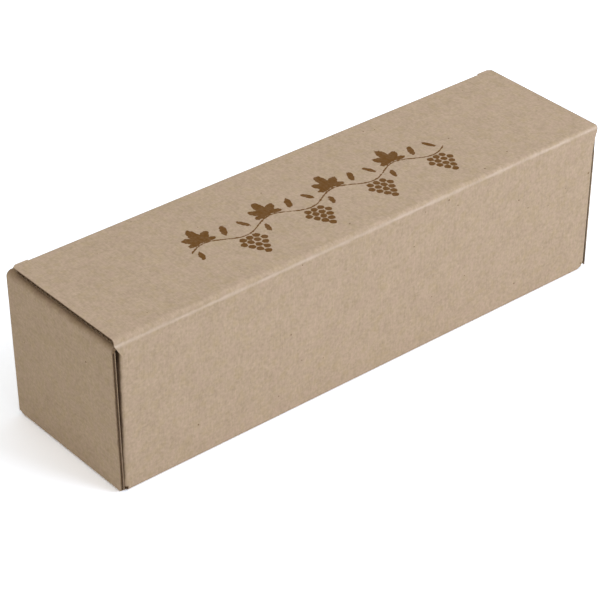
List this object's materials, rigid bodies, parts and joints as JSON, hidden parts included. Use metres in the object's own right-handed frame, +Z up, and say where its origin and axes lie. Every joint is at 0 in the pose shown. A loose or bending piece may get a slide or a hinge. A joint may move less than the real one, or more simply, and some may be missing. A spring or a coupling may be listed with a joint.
{
  "type": "wine box",
  "caption": "Long folded corrugated-board wine bottle box with a hinged tuck-in lid, rolled end walls and locked corner flaps.",
  "frame": {"origin": "on the underside of the base, under the middle of the lid's length and of the box's width", "axes": "+X along the box, -Y towards the hinged long wall, +Y towards the wall the lid tucks behind, +Z up"},
  "size_m": [0.3463, 0.0926, 0.0966],
  "materials": {
    "outer_liner": "matte",
    "fluted_medium": "matte",
    "inner_liner": "matte"
  },
  "bodies": {
    "tray": {"base_outer_liner": "outer_liner", "base_fluting": "fluted_medium", "base_inner_liner": "inner_liner", "rear_wall_outer_liner": "outer_liner", "rear_wall_fluting": "fluted_medium", "rear_wall_inner_liner": "inner_liner", "front_wall_outer_liner": "outer_liner", "front_wall_fluting": "fluted_medium", "front_wall_inner_liner": "inner_liner", "left_end_outer_liner": "outer_liner", "left_end_fluting": "fluted_medium", "left_end_inner_liner": "inner_liner", "right_end_outer_liner": "outer_liner", "right_end_fluting": "fluted_medium", "right_end_inner_liner": "inner_liner", "left_roll_outer_liner": "outer_liner", "left_roll_fluting": "fluted_medium", "left_roll_inner_liner": "inner_liner", "right_roll_outer_liner": "outer_liner", "right_roll_fluting": "fluted_medium", "right_roll_inner_liner": "inner_liner", "left_return_outer_liner": "outer_liner", "left_return_fluting": "fluted_medium", "left_return_inner_liner": "inner_liner", "right_return_outer_liner": "outer_liner", "right_return_fluting": "fluted_medium", "right_return_inner_liner": "inner_liner", "rear_left_flap_outer_liner": "outer_liner", "rear_left_flap_fluting": "fluted_medium", "rear_left_flap_inner_liner": "inner_liner", "rear_right_flap_outer_liner": "outer_liner", "rear_right_flap_fluting": "fluted_medium", "rear_right_flap_inner_liner": "inner_liner", "front_left_flap_outer_liner": "outer_liner", "front_left_flap_fluting": "fluted_medium", "front_left_flap_inner_liner": "inner_liner", "front_right_flap_outer_liner": "outer_liner", "front_right_flap_fluting": "fluted_medium", "front_right_flap_inner_liner": "inner_liner"},
    "lid": {"lid_outer_liner": "outer_liner", "lid_fluting": "fluted_medium", "lid_inner_liner": "inner_liner"},
    "tuck_flap": {"tuck_flap_outer_liner": "outer_liner", "tuck_flap_fluting": "fluted_medium", "tuck_flap_inner_liner": "inner_liner"}
  },
  "joints": [
    {"name": "lid_hinge", "type": "hinge", "parent": "tray", "child": "lid", "pos_m": [0, -0.04566, 0.09596], "axis": [1, 0, 0], "range_deg": [0, 170]},
    {"name": "tuck_flap_crease", "type": "hinge", "parent": "lid", "child": "tuck_flap", "pos_m": [0, 0.0414, 0.0944], "axis": [-1, 0, 0], "range_deg": [0, 70]}
  ]
}
